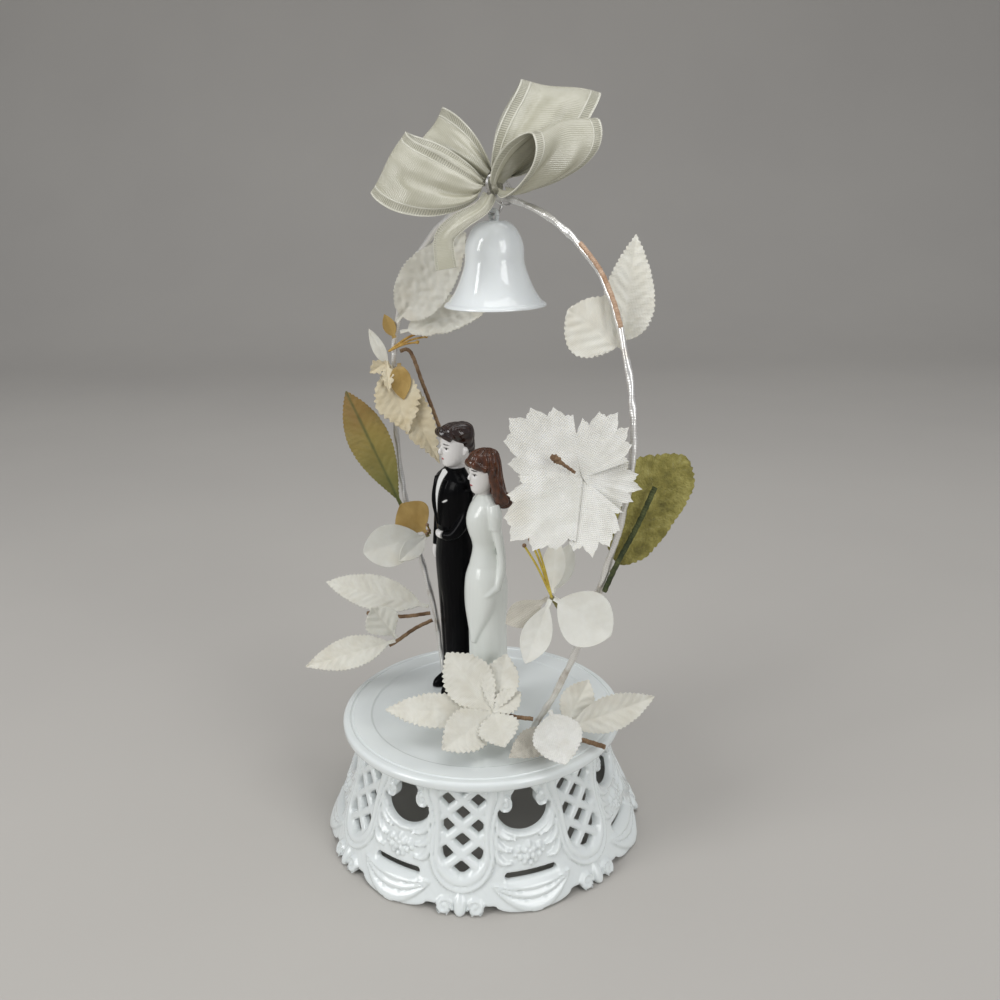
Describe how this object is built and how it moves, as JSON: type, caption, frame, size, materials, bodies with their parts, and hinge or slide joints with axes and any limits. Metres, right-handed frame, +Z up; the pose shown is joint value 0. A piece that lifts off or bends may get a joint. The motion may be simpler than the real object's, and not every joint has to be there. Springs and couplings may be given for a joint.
{
  "type": "wedding cake topper",
  "caption": "Wedding cake topper: moulded couple on a pierced pedestal under a foil-wrapped wire arch dressed with cloth leaves, a ribbon bow and a bell that swings.",
  "frame": {"origin": "on the pedestal axis, at the level of the pedestal feet", "axes": "+Z up; the couple look towards -Y; the arch stands across X, the groom on the -X side"},
  "size_m": [0.1336, 0.11, 0.2468],
  "materials": {
    "white_plastic": "glossy moulded white plastic",
    "bell_plastic": "glossy moulded white plastic, faintly cool",
    "silver_foil": "crinkled silver foil wrapped round wire",
    "groom_paint": "glossy moulded plastic with hand-painted black suit, white face and shirt, brown hair",
    "gown_gloss": "glossy moulded white plastic with hand-painted auburn hair and face",
    "silver_wire": "bright bent wire",
    "ribbon_satin": "ivory satin ribbon with sheer ladder bands at its edges",
    "ivory_cloth": "starched ivory cloth with a visible weave",
    "tan_cloth": "starched cloth aged to tan",
    "olive_cloth": "starched olive-green velvet and cloth",
    "brown_tape": "brown paper tape wound round wire",
    "gold_thread": "stiff gold-brown stamen threads"
  },
  "bodies": {
    "topper_frame": {"pedestal_skirt": "white_plastic", "platform_disc": "white_plastic", "arch_wire": "silver_foil", "groom_figure": "groom_paint", "bride_figure": "gown_gloss", "bow_knot": "ribbon_satin", "bow_tie_wire": "silver_wire", "bow_left_front_loop": "ribbon_satin", "bow_left_back_loop": "ribbon_satin", "bow_right_front_loop": "ribbon_satin", "bow_right_back_loop": "ribbon_satin", "bow_tail": "ribbon_satin", "upper_right_taped_stem": "brown_tape", "upper_right_tall_leaf": "ivory_cloth", "upper_right_short_leaf": "ivory_cloth", "upper_left_tall_leaf": "ivory_cloth", "upper_left_low_leaf": "ivory_cloth", "left_cut_flower": "ivory_cloth", "left_gold_stamens": "gold_thread", "left_brown_stem": "brown_tape", "left_outer_narrow_petal": "ivory_cloth", "left_inner_narrow_petal": "tan_cloth", "left_tan_petal": "tan_cloth", "left_olive_leaf": "olive_cloth", "left_blossom_stem": "olive_cloth", "left_blossom_round_petal": "ivory_cloth", "left_blossom_tan_petal": "tan_cloth", "left_blossom_small_petal": "ivory_cloth", "left_blossom_stamens": "gold_thread", "lower_left_stem": "brown_tape", "lower_left_curled_leaf": "ivory_cloth", "lower_left_round_petal": "ivory_cloth", "lower_left_long_leaf": "ivory_cloth", "lower_left_stem_end": "brown_tape", "right_flower_stem": "brown_tape", "right_cut_flower": "ivory_cloth", "right_flower_pistil": "brown_tape", "right_olive_leaf": "olive_cloth", "right_olive_leaf_rib": "olive_cloth", "lower_right_blossom_stem": "olive_cloth", "lower_right_round_petal": "ivory_cloth", "lower_right_narrow_petal": "ivory_cloth", "lower_right_tan_petal": "tan_cloth", "lower_right_inner_upright_petal": "ivory_cloth", "lower_right_outer_upright_petal": "ivory_cloth", "lower_right_stamens": "gold_thread", "rosette_stem": "brown_tape", "front_rosette": "ivory_cloth", "platform_cluster_stub": "brown_tape", "platform_cluster_up_leaf": "ivory_cloth", "platform_cluster_right_leaf": "ivory_cloth", "platform_cluster_left_leaf": "tan_cloth", "platform_cluster_front_leaf": "ivory_cloth"},
    "hanger": {"bell_hanger_loop": "silver_wire"},
    "bell": {"bell_shell": "bell_plastic"},
    "clapper": {"bell_clapper": "silver_wire"}
  },
  "joints": [
    {"name": "hanger_swing", "type": "hinge", "parent": "topper_frame", "child": "hanger", "pos_m": [0, 0.0091, 0.2123], "axis": [1, 0, 0], "range_deg": [-12, 12]},
    {"name": "bell_swing", "type": "hinge", "parent": "hanger", "child": "bell", "pos_m": [0, 0.0091, 0.20735], "axis": [0, 1, 0], "range_deg": [-18, 18]},
    {"name": "clapper_swing", "type": "hinge", "parent": "bell", "child": "clapper", "pos_m": [0, 0.0091, 0.20203], "axis": [1, 0, 0], "range_deg": [-22, 22]}
  ]
}
